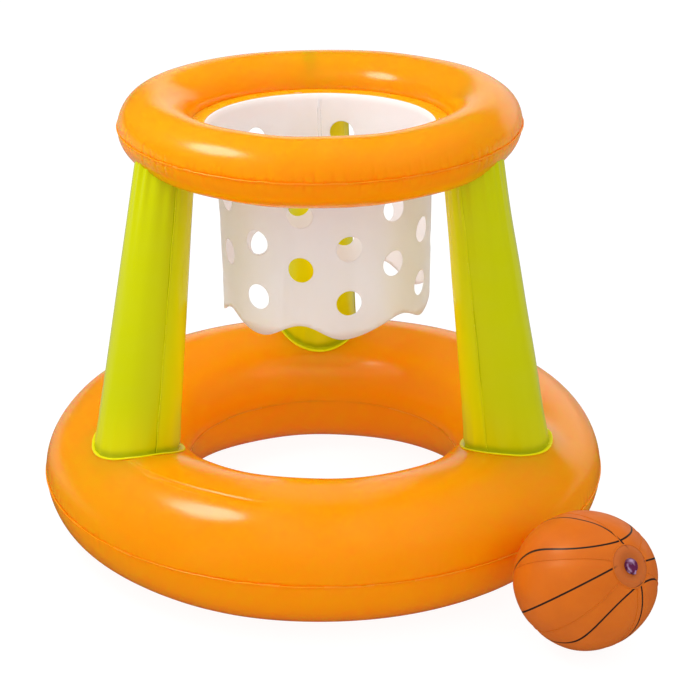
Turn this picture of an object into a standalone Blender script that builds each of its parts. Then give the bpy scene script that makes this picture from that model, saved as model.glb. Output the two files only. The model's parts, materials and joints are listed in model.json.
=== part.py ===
"""Floating basketball hoop: an inflatable pool toy with its small ball.

Units are metres, +Z is up and the set stands on z = 0. The hoop's own axis is
upright at HOOP_AXIS, and the origin is the middle of the whole set's floor area.
Every inflated part is a hollow shell of plastic film, joined at weld seams.
"""
import math

import bmesh
import bpy
from mathutils import Matrix, Vector

# Film, welds and clearances
FILM = 0.0008                   # modelled film thickness of the inflated parts
FIT_GAP = 0.0003                # clearance between pieces that touch
WELD_THICKNESS = 0.0010         # a seam is the films' two edges pressed together
WELD_PROUD = 0.0012             # how far a seam stands out of the film
CUT_OVERRUN = 0.010             # how far a cutter runs past what it cuts

# Base ring, the float
BASE_OUTER_DIAMETER = 0.670
BASE_TUBE_WIDTH = 0.172
BASE_TUBE_HEIGHT = 0.154
BASE_FLAT_DEPTH = 0.0010        # the tube is pressed flat by this where it stands

# Hoop ring
HOOP_OUTER_DIAMETER = 0.462
HOOP_TUBE_WIDTH = 0.0826
HOOP_TUBE_HEIGHT = 0.0752
HOOP_CENTRE_HEIGHT = 0.4955
HOOP_WEB_WIDTH = 0.0155         # flat strip inside the hoop that carries the net

# Legs
LEG_BEARINGS = {"back": 91.4, "left": 210.0, "right": 330.0}
LEG_FOOT_DIAMETER = 0.0962      # at the top of the base ring
LEG_HEAD_DIAMETER = 0.0674      # at the underside of the hoop ring
LEG_FOOT_INSET = 0.0045         # foot centre, inwards of the base tube's centre
LEG_HEAD_OUTSET = 0.0081        # head centre, outwards of the hoop tube's centre
LEG_FOOT_LIP = 0.0060           # weld lip round the foot
LEG_HEAD_LIP = 0.0025           # weld lip round the head
LEG_FOOT_DEPTH_SHARE = 0.50     # of the half tube height, run into the base ring
LEG_HEAD_DEPTH_SHARE = 0.90     # of the half tube height, run into the hoop ring
VENT_DIAMETER = 0.020           # air passage from the hoop ring into each leg

# Net
NET_FILM = 0.0008
NET_LENGTH = 0.2130             # from the web down to the middle of the hem
NET_THROAT_INSET = 0.0009       # from the web's inner edge in to the net's top
NET_WAIST_TAKE_IN = 0.0095      # how much less the net's radius is than at its top
NET_HEM_TAKE_IN = 0.0125
NET_FLARE_DROP = 0.0640         # from the web to the foot of the flare
# How far the flare has come in, against how far it has come down
FLARE_SHARES = ((0.0, 0.0), (0.12, 0.36), (0.45, 0.72), (1.0, 1.0))
NET_RIM_WIDTH = 0.0060          # flat rim welded under the web
NET_SCALLOP_HEIGHT = 0.0170
NET_SCALLOPS = 8
NET_SCALLOP_LOW_BEARING = 285.0
NET_HOLE_DIAMETER = 0.0295
NET_HOLE_COLUMNS = 14
NET_HOLE_PITCH = 0.0648         # up and down a column
NET_FIRST_HOLE_DROP = 0.0467    # web to the top hole of a three-hole column
NET_SECOND_HOLE_DROP = 0.0718   # web to the top hole of a two-hole column
NET_FIRST_COLUMN_BEARING = 284.8
NET_LAP_BEARING = 91.5
NET_LAP_WIDTH = 0.0060
NET_LAP_TOP_DROP = 0.0120
NET_LAP_HEM_MARGIN = 0.0040

# Valves
VALVE_STEM_DIAMETER = 0.0130
VALVE_BORE_DIAMETER = 0.0100
VALVE_RIM_DIAMETER = 0.0170
VALVE_RIM_THICKNESS = 0.0015
VALVE_BEAD_PROUD = 0.0011       # the stem's end bead, which keeps it in its collar
VALVE_BEAD_LENGTH = 0.0020
VALVE_TRAVEL = 0.0120           # how far the stem pulls out
VALVE_STOP_SLACK = 0.0010       # left between bead and collar at full travel
VALVE_COLLAR_DIAMETER = 0.0260
VALVE_COLLAR_THICKNESS = 0.0010
VALVE_SLEEVE_WALL = 0.0011
VALVE_SLEEVE_DEPTH = 0.0060     # from the film's outer face to the sleeve's end
VALVE_HOLE_DIAMETER = 0.0146    # hole in the film
PLUG_HEAD_DIAMETER = 0.0150
PLUG_HEAD_THICKNESS = 0.0020
PLUG_HEAD_CHAMFER = 0.0006
PLUG_INSERT_DEPTH = 0.0050
PLUG_INSERT_TAPER = 0.0011      # how much thinner the insert is at its end
PLUG_HINGE_REACH = 0.0095       # from the bore's axis to the strap's bend
PLUG_STRAP_WIDTH = 0.0040
PLUG_STRAP_THICKNESS = 0.0010
PLUG_STRAP_ROOT = 0.0010        # how far strap and lug run into head and rim

# Where the valves sit: counts of facets round the ring and up from its outer seam
BASE_VALVE_FACET = (16, 1)
HOOP_VALVE_FACET = (9, 1)

# Ball
BALL_DIAMETER = 0.156
BALL_GORES = 6
BALL_DISC_DIAMETER = 0.047
BALL_STANDOFF = 0.0165          # between the ball and the base ring
BALL_BEARING = -48.4
BALL_FLOOR_GAP = 0.0003
BALL_VALVE_BEARING = -49.5      # which way the ball's valve faces
BALL_VALVE_ELEVATION = 33.5
BALL_FIRST_SEAM = 27.5          # bearing of a gore seam round the valve
BALL_DIMPLE_DEPTH = 0.0035      # below the sphere's pole
BALL_DIMPLE_FLOOR_DIAMETER = 0.022
BALL_DIMPLE_DIAMETER = 0.036
BALL_COLLAR_DIAMETER = 0.0210

# Facet counts
BASE_STEPS = 48
BASE_UPPER_BENDS = 9
BASE_LOWER_BENDS = 4
HOOP_STEPS = 36
HOOP_UPPER_BENDS = 8
HOOP_LOWER_BENDS = 4
LEG_STEPS = 24
NET_STEPS = 48
NET_HOLE_SIDES = 12
VALVE_STEPS = 12
BALL_GORE_STEPS = 4
BALL_GORE_BENDS = 8
BALL_DISC_STEPS = 18

MERGE_DISTANCE = 0.00001

COLOURS = {
    "orange film": ((0.90, 0.30, 0.01, 1.0), 0.22),
    "lime film": ((0.58, 0.60, 0.01, 1.0), 0.28),
    "net film": ((0.84, 0.76, 0.75, 1.0), 0.35),
    "ball film": ((0.62, 0.15, 0.02, 1.0), 0.40),
    "clear vinyl": ((0.85, 0.85, 0.90, 1.0), 0.15),
}


class Ring:
    """An inflated ring: an oval tube of film about an upright axis."""

    def __init__(self, outer_diameter, width, height, centre_height, counts, flat=0.0):
        self.half_width = width / 2
        self.half_height = height / 2
        self.centre_radius = outer_diameter / 2 - self.half_width
        self.centre_height = centre_height
        self.steps, self.upper_bends, self.lower_bends = counts
        self.flat = flat

    def upper_outline(self):
        """Inner seam, over the top, to the outer seam."""
        return [self.point(a) for a in spread(180 - self.seam(), self.seam(), self.upper_bends)]

    def lower_outline(self):
        """Outer seam, under the bottom, to the inner seam."""
        low = 90 - math.degrees(math.acos(1 - self.flat / self.half_height))
        outer = spread(-self.seam(), -low, self.lower_bends)
        inner = [-180 - a for a in reversed(outer)]
        if not self.flat:
            inner = inner[1:]
        return [self.point(a) for a in outer + inner]

    def seam(self):
        """Degrees from the middle plane to the film's edge beside the seam."""
        return math.degrees(math.asin((WELD_THICKNESS / 2 + FIT_GAP) / self.half_height))

    def point(self, angle):
        a = math.radians(angle)
        height = max(math.sin(a) * self.half_height, self.flat - self.half_height)
        return (self.centre_radius + math.cos(a) * self.half_width,
                self.centre_height + height)

    def outline(self, offset):
        """The whole section, grown by offset."""
        return grow_outline(self.upper_outline() + self.lower_outline(), offset)

    def facet_seat(self, round_index, up_index):
        """Centre and outward direction of one flat facet of the upper film."""
        outline = list(reversed(self.upper_outline()))
        (r0, z0), (r1, z1) = outline[up_index], outline[up_index + 1]
        half_step = math.pi / self.steps
        bearing = (2 * round_index + 1) * half_step
        flat_radius = (r0 + r1) / 2 * math.cos(half_step)
        centre = Vector((flat_radius * math.cos(bearing), flat_radius * math.sin(bearing),
                         (z0 + z1) / 2))
        elevation = math.atan2((r0 - r1) * math.cos(half_step), z1 - z0)
        return centre, bearing, elevation


def spread(start, end, bends):
    """Even values from start to end, bends apart."""
    return [start + (end - start) * i / bends for i in range(bends + 1)]


def grow_outline(points, offset):
    """Move each side of a closed outline outwards by offset, corners mitred."""
    if not offset:
        return list(points)
    grown = []
    count = len(points)
    for i, here in enumerate(points):
        before = Vector(points[i - 1])
        after = Vector(points[(i + 1) % count])
        side_in = (Vector(here) - before).normalized()
        side_out = (after - Vector(here)).normalized()
        normal_in = Vector((-side_in.y, side_in.x))
        normal_out = Vector((-side_out.y, side_out.x))
        mitre = (normal_in + normal_out) / (1 + normal_in.dot(normal_out))
        grown.append(tuple(Vector(here) + mitre * offset))
    return grown


BASE = Ring(BASE_OUTER_DIAMETER, BASE_TUBE_WIDTH, BASE_TUBE_HEIGHT,
            BASE_TUBE_HEIGHT / 2 - BASE_FLAT_DEPTH,
            (BASE_STEPS, BASE_UPPER_BENDS, BASE_LOWER_BENDS), BASE_FLAT_DEPTH)
HOOP = Ring(HOOP_OUTER_DIAMETER, HOOP_TUBE_WIDTH, HOOP_TUBE_HEIGHT, HOOP_CENTRE_HEIGHT,
            (HOOP_STEPS, HOOP_UPPER_BENDS, HOOP_LOWER_BENDS))

# Ball centre, seen from the hoop's axis, and the origin at the middle of the set
BALL_RADIUS = BALL_DIAMETER / 2
BALL_DISTANCE = BASE_OUTER_DIAMETER / 2 + BALL_STANDOFF + BALL_RADIUS
BALL_X = BALL_DISTANCE * math.cos(math.radians(BALL_BEARING))
BALL_Y = BALL_DISTANCE * math.sin(math.radians(BALL_BEARING))
BASE_REACH = BASE_OUTER_DIAMETER / 2 + WELD_PROUD
HOOP_AXIS = Vector((-(BALL_X + BALL_RADIUS - BASE_REACH) / 2,
                    -(BALL_Y - BALL_RADIUS + BASE_REACH) / 2, 0))

# Ends of a leg's centre line
LEG_FOOT = Vector((BASE.centre_radius - LEG_FOOT_INSET, 0,
                   BASE.centre_height + BASE.half_height))
LEG_HEAD = Vector((HOOP.centre_radius + LEG_HEAD_OUTSET, 0,
                   HOOP.centre_height - HOOP.half_height))


def clear_scene():
    for obj in list(bpy.data.objects):
        bpy.data.objects.remove(obj, do_unlink=True)
    for group in list(bpy.data.collections):
        bpy.data.collections.remove(group)


def new_collection(name):
    group = bpy.data.collections.new(name)
    bpy.context.scene.collection.children.link(group)
    return group


clear_scene()
PARTS = new_collection("floating_basketball_hoop")
GUIDES = new_collection("guides")
CUTTERS = new_collection("cutters")


def make_material(name, kind):
    colour, roughness = COLOURS[kind]
    material = bpy.data.materials.new(name + "_material")
    material.use_nodes = True
    shader = material.node_tree.nodes["Principled BSDF"]
    shader.inputs["Base Color"].default_value = colour
    shader.inputs["Roughness"].default_value = roughness
    shader.inputs["Metallic"].default_value = 0.0
    return material


def add_object(name, mesh, group, parent=None):
    obj = bpy.data.objects.new(name, mesh)
    group.objects.link(obj)
    if parent:
        obj.parent = parent
    return obj


def add_part(name, mesh, kind, parent=None):
    obj = add_object(name, mesh, PARTS, parent)
    # The slot belongs to the object, so that copies may share a mesh.
    if not mesh.materials:
        mesh.materials.append(None)
    obj.material_slots[0].link = "OBJECT"
    obj.material_slots[0].material = make_material(name, kind)
    return obj


def add_cutter(name, mesh, parent=None):
    obj = add_object(name, mesh, CUTTERS, parent)
    obj.hide_render = True
    obj.display_type = "WIRE"
    return obj


def add_guide(name, location, rotation=(0, 0, 0), parent=None):
    """An empty that places what hangs on it."""
    empty = add_object(name, None, GUIDES, parent)
    empty.location = location
    empty.rotation_euler = rotation
    return empty


def outline_mesh(name, points, closed):
    """A profile in the X-Z plane, ready to be turned about Z."""
    mesh = bpy.data.meshes.new(name)
    count = len(points)
    edges = [(i, i + 1) for i in range(count - 1)]
    if closed:
        edges.append((count - 1, 0))
    mesh.from_pydata([(r, 0, z) for r, z in points], edges, [])
    return mesh


def turn(obj, steps, degrees=360.0):
    """Turn the object's profile about its Z axis."""
    screw = obj.modifiers.new("turn", "SCREW")
    screw.axis = "Z"
    screw.angle = math.radians(degrees)
    screw.steps = steps
    screw.render_steps = steps
    screw.use_merge_vertices = True
    screw.merge_threshold = MERGE_DISTANCE
    screw.use_smooth_shade = True
    return obj


def thicken(obj, thickness):
    """Give an open film surface its thickness, on the inside."""
    solid = obj.modifiers.new("film", "SOLIDIFY")
    solid.thickness = thickness
    solid.offset = -1
    solid.use_even_offset = True
    return obj


def combine(obj, operation, other):
    boolean = obj.modifiers.new(operation.lower() + "_" + other.name, "BOOLEAN")
    boolean.operation = operation
    boolean.object = other
    return obj


def cut(obj, cutter):
    return combine(obj, "DIFFERENCE", cutter)


def keep_inside(obj, cutter):
    return combine(obj, "INTERSECT", cutter)


def cone_mesh(name, low_radius, high_radius, low, high, sides):
    """A solid cone or cylinder about Z from low to high."""
    shape = bmesh.new()
    bmesh.ops.create_cone(shape, cap_ends=True, segments=sides, radius1=low_radius,
                          radius2=high_radius, depth=high - low,
                          matrix=Matrix.Translation((0, 0, (low + high) / 2)))
    mesh = bpy.data.meshes.new(name)
    shape.to_mesh(mesh)
    shape.free()
    return mesh


def box_mesh(name, low, high):
    """A box between two corners."""
    low, high = Vector(low), Vector(high)
    size = high - low
    place = Matrix.Translation((low + high) / 2) @ Matrix.Diagonal((*size, 1.0))
    shape = bmesh.new()
    bmesh.ops.create_cube(shape, size=1.0, matrix=place)
    mesh = bpy.data.meshes.new(name)
    shape.to_mesh(mesh)
    shape.free()
    return mesh


def plate_mesh(name, outline, thickness):
    """A flat plate of the given (y, z) outline, centred on the Y-Z plane."""
    curve = bpy.data.curves.new(name + "_outline", "CURVE")
    curve.dimensions = "2D"
    curve.fill_mode = "BOTH"
    curve.extrude = thickness / 2
    spline = curve.splines.new("POLY")
    spline.points.add(len(outline) - 1)
    for point, (y, z) in zip(spline.points, outline):
        point.co = (y, z, 0, 1)
    spline.use_cyclic_u = True
    holder = add_object(name + "_outline", curve, CUTTERS)
    bpy.context.view_layer.update()
    graph = bpy.context.evaluated_depsgraph_get()
    mesh = bpy.data.meshes.new_from_object(holder.evaluated_get(graph))
    bpy.data.objects.remove(holder, do_unlink=True)
    shape = bmesh.new()
    shape.from_mesh(mesh)
    bmesh.ops.remove_doubles(shape, verts=shape.verts, dist=MERGE_DISTANCE)
    upright = Matrix(((0, 0, 1), (1, 0, 0), (0, 1, 0))).to_4x4()
    bmesh.ops.transform(shape, matrix=upright, verts=shape.verts)
    bmesh.ops.recalc_face_normals(shape, faces=shape.faces)
    shape.to_mesh(mesh)
    shape.free()
    mesh.name = name
    return mesh


def join_cutters(name, meshes, parent):
    """One cutter made of several separate meshes, each with its own matrix."""
    shape = bmesh.new()
    for mesh, matrix in meshes:
        copy = mesh.copy()
        copy.transform(matrix)
        shape.from_mesh(copy)
        bpy.data.meshes.remove(copy)
    joined = bpy.data.meshes.new(name)
    shape.to_mesh(joined)
    shape.free()
    return add_cutter(name, joined, parent)


def ring_solid(name, ring, offset, parent):
    """The space inside a ring's film, grown by offset, as a cutter."""
    mesh = outline_mesh(name, ring.outline(offset), True)
    return turn(add_cutter(name, mesh, parent), ring.steps)


def film_panel(name, outline, ring, parent):
    panel = add_part(name, outline_mesh(name, outline, False), "orange film", parent)
    turn(panel, ring.steps)
    return thicken(panel, FILM)


def flat_ring(name, inner_radius, outer_radius, ring, parent):
    """A welded seam: a flat strip in the ring's middle plane."""
    high = ring.centre_height + WELD_THICKNESS / 2
    low = ring.centre_height - WELD_THICKNESS / 2
    corners = [(inner_radius, high), (outer_radius, high),
               (outer_radius, low), (inner_radius, low)]
    strip = add_part(name, outline_mesh(name, corners, True), "orange film", parent)
    return turn(strip, ring.steps)


def ring_edges(ring):
    """Radii of the film's inner and outer seam edges."""
    radii = [r for r, _ in ring.upper_outline()]
    return min(radii), max(radii)


def make_ring_welds(prefix, ring, inner_name, inner_width, parent):
    inner, outer = ring_edges(ring)
    flat_ring(prefix + "_outer_weld", outer - FILM, outer + WELD_PROUD, ring, parent)
    flat_ring(prefix + inner_name, inner - inner_width, inner + FILM, ring, parent)


def make_base_ring(axis):
    upper = film_panel("base_ring_upper_panel", BASE.upper_outline(), BASE, axis)
    film_panel("base_ring_lower_panel", BASE.lower_outline(), BASE, axis)
    make_ring_welds("base_ring", BASE, "_inner_weld", WELD_PROUD, axis)
    return upper


def make_hoop_ring(axis):
    upper = film_panel("hoop_ring_upper_panel", HOOP.upper_outline(), HOOP, axis)
    lower = film_panel("hoop_ring_lower_panel", HOOP.lower_outline(), HOOP, axis)
    make_ring_welds("hoop_ring", HOOP, "_inner_web", HOOP_WEB_WIDTH, axis)
    return upper, lower


def leg_length():
    return (LEG_HEAD - LEG_FOOT).length


def leg_span():
    """How far the leg's cone runs, from inside the base to inside the hoop."""
    low = -LEG_FOOT_DEPTH_SHARE * BASE.half_height
    high = leg_length() + LEG_HEAD_DEPTH_SHARE * HOOP.half_height
    return low, high


def leg_radius(height):
    """Outside radius of a leg at a height along its centre line."""
    taper = (LEG_HEAD_DIAMETER - LEG_FOOT_DIAMETER) / 2 / leg_length()
    return LEG_FOOT_DIAMETER / 2 + taper * height


def leg_cone(name, grow, low, high):
    return cone_mesh(name, leg_radius(low) + grow, leg_radius(high) + grow,
                     low, high, LEG_STEPS)


def make_leg(side, axis, skins, hoop_lower):
    """Two film panels, two side seams and a welded flange at each end."""
    bearing = math.radians(LEG_BEARINGS[side])
    lean = math.atan2(LEG_HEAD.x - LEG_FOOT.x, LEG_HEAD.z - LEG_FOOT.z)
    foot = Matrix.Rotation(bearing, 3, "Z") @ LEG_FOOT
    name = "leg_" + side
    frame = add_guide(name + "_frame", foot, (0, lean, bearing), axis)
    low, high = leg_span()
    middle = leg_length() / 2
    wide = LEG_FOOT_DIAMETER
    edge = WELD_THICKNESS / 2 + FIT_GAP

    for half, sign in (("outer", 1), ("inner", -1)):
        near = (sign * edge, -wide, low - CUT_OVERRUN)
        far = (sign * wide, wide, high + CUT_OVERRUN)
        corners = [[min(a, b) for a, b in zip(near, far)],
                   [max(a, b) for a, b in zip(near, far)]]
        space = add_cutter(f"{name}_{half}_half", box_mesh("half", *corners), frame)
        line = [(leg_radius(high), high), (leg_radius(low), low)]
        panel = add_part(f"{name}_{half}_panel", outline_mesh(name, line, False),
                         "lime film", frame)
        turn(panel, LEG_STEPS)
        thicken(panel, FILM)
        keep_inside(panel, space)
        cut(panel, skins["base clear"])
        cut(panel, skins["hoop clear"])

    for number, sign in ((1, 1), (2, -1)):
        outline = [(sign * (leg_radius(z) + out), z)
                   for z, out in ((low, -FILM), (low, WELD_PROUD),
                                  (high, WELD_PROUD), (high, -FILM))]
        weld_name = f"{name}_side_weld_{number}"
        weld = add_part(weld_name, plate_mesh(weld_name, outline, WELD_THICKNESS),
                        "lime film", frame)
        cut(weld, skins["base clear"])
        cut(weld, skins["hoop clear"])

    flange = add_part(name + "_base_flange",
                      leg_cone("flange", LEG_FOOT_LIP, low, middle), "lime film", frame)
    keep_inside(flange, skins["base flange top"])
    cut(flange, skins["base flange bottom"])

    flange = add_part(name + "_hoop_flange",
                      leg_cone("flange", LEG_HEAD_LIP, middle, high), "lime film", frame)
    keep_inside(flange, skins["hoop flange bottom"])
    cut(flange, skins["hoop flange top"])
    vent = cone_mesh("vent", VENT_DIAMETER / 2, VENT_DIAMETER / 2,
                     middle, high, VALVE_STEPS)
    drill = add_cutter(name + "_vent", vent, frame)
    cut(flange, drill)
    cut(hoop_lower, drill)


def make_legs(axis, hoop_lower):
    seat = FIT_GAP + FILM
    clear = seat + FIT_GAP
    skins = {
        "base clear": ring_solid("base_clear", BASE, clear, axis),
        "base flange top": ring_solid("base_flange_top", BASE, seat, axis),
        "base flange bottom": ring_solid("base_flange_bottom", BASE, FIT_GAP, axis),
        "hoop clear": ring_solid("hoop_clear", HOOP, clear, axis),
        "hoop flange bottom": ring_solid("hoop_flange_bottom", HOOP, seat, axis),
        "hoop flange top": ring_solid("hoop_flange_top", HOOP, FIT_GAP, axis),
    }
    for side in LEG_BEARINGS:
        make_leg(side, axis, skins, hoop_lower)


def net_top():
    """Height of the top face of the net's welded rim, under the web."""
    return HOOP.centre_height - WELD_THICKNESS / 2 - FIT_GAP


def net_throat():
    """Outside radius of the net's top, set by the web that it hangs from."""
    return ring_edges(HOOP)[0] - HOOP_WEB_WIDTH - NET_THROAT_INSET


def net_waist():
    return net_throat() - NET_WAIST_TAKE_IN


def net_outline(grow):
    """The net's outside from its rim to the middle of the hem, grown outwards."""
    top = net_top() - NET_FILM
    throat = net_throat() + grow
    waist = net_waist() + grow
    hem = net_throat() - NET_HEM_TAKE_IN + grow
    flare = [(throat + (waist - throat) * out, top - NET_FLARE_DROP * down)
             for down, out in FLARE_SHARES]
    foot = HOOP.centre_height - NET_LENGTH
    return flare + [(hem, foot)]


def net_hem(bearing):
    """How far the hem hangs above the lowest point at a bearing, in degrees."""
    turns = math.radians((bearing - NET_SCALLOP_LOW_BEARING) * NET_SCALLOPS)
    return NET_SCALLOP_HEIGHT / 2 * (1 - math.cos(turns))


def scallop(mesh):
    """Wave the lowest edge of the net's turned surface."""
    foot = min(v.co.z for v in mesh.vertices)
    for vertex in mesh.vertices:
        if vertex.co.z < foot + FIT_GAP:
            bearing = math.degrees(math.atan2(vertex.co.y, vertex.co.x))
            vertex.co.z += net_hem(bearing) - NET_SCALLOP_HEIGHT / 2


def turned_surface(name, outline, steps):
    """A turned open surface as a plain mesh."""
    holder = turn(add_cutter(name, outline_mesh(name, outline, False)), steps)
    bpy.context.view_layer.update()
    graph = bpy.context.evaluated_depsgraph_get()
    mesh = bpy.data.meshes.new_from_object(holder.evaluated_get(graph))
    bpy.data.objects.remove(holder, do_unlink=True)
    mesh.name = name
    return mesh


def hole_places():
    """Bearing and height of each hole in the net."""
    columns = range(NET_HOLE_COLUMNS)
    for column in columns:
        bearing = NET_FIRST_COLUMN_BEARING + 360.0 * column / NET_HOLE_COLUMNS
        long_column = column % 2 == 0
        first = NET_FIRST_HOLE_DROP if long_column else NET_SECOND_HOLE_DROP
        for row in range(3 if long_column else 2):
            yield bearing, HOOP.centre_height - first - row * NET_HOLE_PITCH


def make_net(axis):
    rim = (net_throat() + NET_RIM_WIDTH, net_top() - NET_FILM)
    mesh = turned_surface("net_sleeve", [rim] + net_outline(0), NET_STEPS)
    scallop(mesh)
    sleeve = thicken(add_part("net_sleeve", mesh, "net film", axis), NET_FILM)
    punch = cone_mesh("punch", NET_HOLE_DIAMETER / 2, NET_HOLE_DIAMETER / 2,
                      net_waist() - CUT_OVERRUN, net_waist() + CUT_OVERRUN,
                      NET_HOLE_SIDES)
    sideways = Matrix.Rotation(math.radians(90), 4, "Y")
    punches = [(punch, Matrix.Translation((0, 0, z))
                @ Matrix.Rotation(math.radians(bearing), 4, "Z") @ sideways)
               for bearing, z in hole_places()]
    cut(sleeve, join_cutters("net_holes", punches, axis))
    make_net_lap(axis)


def make_net_lap(axis):
    """The upright overlap where the net's film meets itself, at the back."""
    outline = net_outline(FIT_GAP + NET_FILM)
    top = HOOP.centre_height - NET_LAP_TOP_DROP
    foot = (HOOP.centre_height - NET_LENGTH + net_hem(NET_LAP_BEARING)
            - NET_SCALLOP_HEIGHT / 2 + NET_LAP_HEM_MARGIN)
    outline = clip_outline(outline, top, foot)
    degrees = math.degrees(NET_LAP_WIDTH / net_waist())
    lap = add_part("net_lap_weld", outline_mesh("net_lap_weld", outline, False),
                   "net film", axis)
    turn(lap, 1, degrees)
    thicken(lap, NET_FILM)
    lap.rotation_euler = (0, 0, math.radians(NET_LAP_BEARING - degrees / 2))


def clip_outline(outline, top, foot):
    """The stretch of a falling outline between two heights."""
    def radius_at(height):
        for (r0, z0), (r1, z1) in zip(outline, outline[1:]):
            if z1 <= height <= z0:
                return r0 + (r1 - r0) * (z0 - height) / (z0 - z1)
        return outline[-1][0]
    inside = [(r, z) for r, z in outline if foot < z < top]
    return [(radius_at(top), top)] + inside + [(radius_at(foot), foot)]


def make_stem(prefix, frame):
    """A tube with a rim outside, an end bead inside and a lug for the strap."""
    bore, tube = VALVE_BORE_DIAMETER / 2, VALVE_STEM_DIAMETER / 2
    rim, bead = VALVE_RIM_DIAMETER / 2, VALVE_STEM_DIAMETER / 2 + VALVE_BEAD_PROUD
    rim_low = FIT_GAP
    rim_high = rim_low + VALVE_RIM_THICKNESS
    bead_high = -(VALVE_SLEEVE_DEPTH + VALVE_TRAVEL + VALVE_STOP_SLACK)
    bead_low = bead_high - VALVE_BEAD_LENGTH
    slope = VALVE_BEAD_PROUD / 2
    outline = [(bore, rim_high), (rim, rim_high), (rim, rim_low), (tube, rim_low),
               (tube, bead_high), (bead, bead_high - slope), (bead, bead_low + slope),
               (tube, bead_low), (bore, bead_low)]
    name = prefix + "_valve_stem"
    stem = add_part(name, outline_mesh(name, outline, True), "clear vinyl", frame)
    turn(stem, VALVE_STEPS)
    half = PLUG_STRAP_WIDTH / 2
    lug = box_mesh("lug", (-half, -PLUG_HINGE_REACH, rim_low),
                   (half, PLUG_STRAP_ROOT - rim, rim_high))
    return combine(stem, "UNION", add_cutter(name + "_lug", lug, frame))


def make_plug(prefix, frame):
    """A tapered stopper on a strap that bends at the stem's lug."""
    low = FIT_GAP + VALVE_RIM_THICKNESS + FIT_GAP
    high = low + PLUG_HEAD_THICKNESS
    head = PLUG_HEAD_DIAMETER / 2
    insert = VALVE_BORE_DIAMETER / 2 - FIT_GAP
    outline = [(0, high), (head - PLUG_HEAD_CHAMFER, high), (head, high - PLUG_HEAD_CHAMFER),
               (head, low), (insert, low),
               (insert - PLUG_INSERT_TAPER, low - PLUG_INSERT_DEPTH),
               (0, low - PLUG_INSERT_DEPTH)]
    bend = low - FIT_GAP / 2
    hinge = add_guide(prefix + "_plug_hinge", (0, -PLUG_HINGE_REACH, bend), parent=frame)
    name = prefix + "_valve_plug"
    plug = add_part(name, outline_mesh(name, outline, False), "clear vinyl", hinge)
    plug.location = (0, PLUG_HINGE_REACH, -bend)
    turn(plug, VALVE_STEPS)
    half = PLUG_STRAP_WIDTH / 2
    strap = box_mesh("strap", (-half, -PLUG_HINGE_REACH, low),
                     (half, PLUG_STRAP_ROOT - head, low + PLUG_STRAP_THICKNESS))
    return combine(plug, "UNION", add_cutter(name + "_strap", strap, frame))


def bore_radius():
    """Inside radius of the collar that the stem slides in."""
    return VALVE_STEM_DIAMETER / 2 + FIT_GAP


def make_ring_valve(prefix, ring, facet, panel, axis):
    """A valve on one facet of a ring's upper film, with its collar inside."""
    centre, bearing, elevation = ring.facet_seat(*facet)
    tilt = (math.pi / 2 - elevation, 0, bearing + math.pi / 2)
    frame = add_guide(prefix + "_valve_frame", centre, tilt, axis)
    hole = cone_mesh("hole", VALVE_HOLE_DIAMETER / 2, VALVE_HOLE_DIAMETER / 2,
                     -CUT_OVERRUN, CUT_OVERRUN, VALVE_STEPS)
    cut(panel, add_cutter(prefix + "_valve_hole", hole, frame))

    under = FILM + FIT_GAP
    name = prefix + "_valve_collar"
    disc = cone_mesh(name, VALVE_COLLAR_DIAMETER / 2, VALVE_COLLAR_DIAMETER / 2,
                     -CUT_OVERRUN, CUT_OVERRUN, VALVE_STEPS)
    collar = add_part(name, disc, "clear vinyl", frame)
    keep_inside(collar, ring_solid(name + "_top", ring, -under, axis))
    cut(collar, ring_solid(name + "_bottom", ring, -under - VALVE_COLLAR_THICKNESS, axis))
    sleeve = cone_mesh("sleeve", bore_radius() + VALVE_SLEEVE_WALL,
                       bore_radius() + VALVE_SLEEVE_WALL, -VALVE_SLEEVE_DEPTH,
                       -under - VALVE_COLLAR_THICKNESS / 2, VALVE_STEPS)
    combine(collar, "UNION", add_cutter(name + "_sleeve", sleeve, frame))
    bore = cone_mesh("bore", bore_radius(), bore_radius(), -2 * CUT_OVERRUN,
                     CUT_OVERRUN, VALVE_STEPS)
    cut(collar, add_cutter(name + "_bore", bore, frame))
    make_stem(prefix, frame)
    make_plug(prefix, frame)


def sphere_point(degrees, radius=BALL_RADIUS):
    """Radius and height of a point on the ball, by its angle from the pole."""
    a = math.radians(degrees)
    return radius * math.sin(a), radius * math.cos(a)


def disc_angle():
    """Degrees from the pole to the edge of a pole disc."""
    return math.degrees(math.asin(BALL_DISC_DIAMETER / 2 / BALL_RADIUS))


def make_gores(frame):
    """Curved panels from disc to disc, with a narrow gap at each seam."""
    gap = math.degrees(FIT_GAP / BALL_RADIUS)
    start = disc_angle() + gap
    arc = [sphere_point(a) for a in spread(start, 180 - start, BALL_GORE_BENDS)]
    mesh = outline_mesh("gore", arc, False)
    each = 360.0 / BALL_GORES
    for number in range(BALL_GORES):
        gore = add_part(f"ball_gore_{number + 1}", mesh, "ball film", frame)
        turn(gore, BALL_GORE_STEPS, each - 2 * gap)
        thicken(gore, FILM)
        gore.rotation_euler = (0, 0, math.radians(BALL_FIRST_SEAM + gap + each * number))


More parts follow.
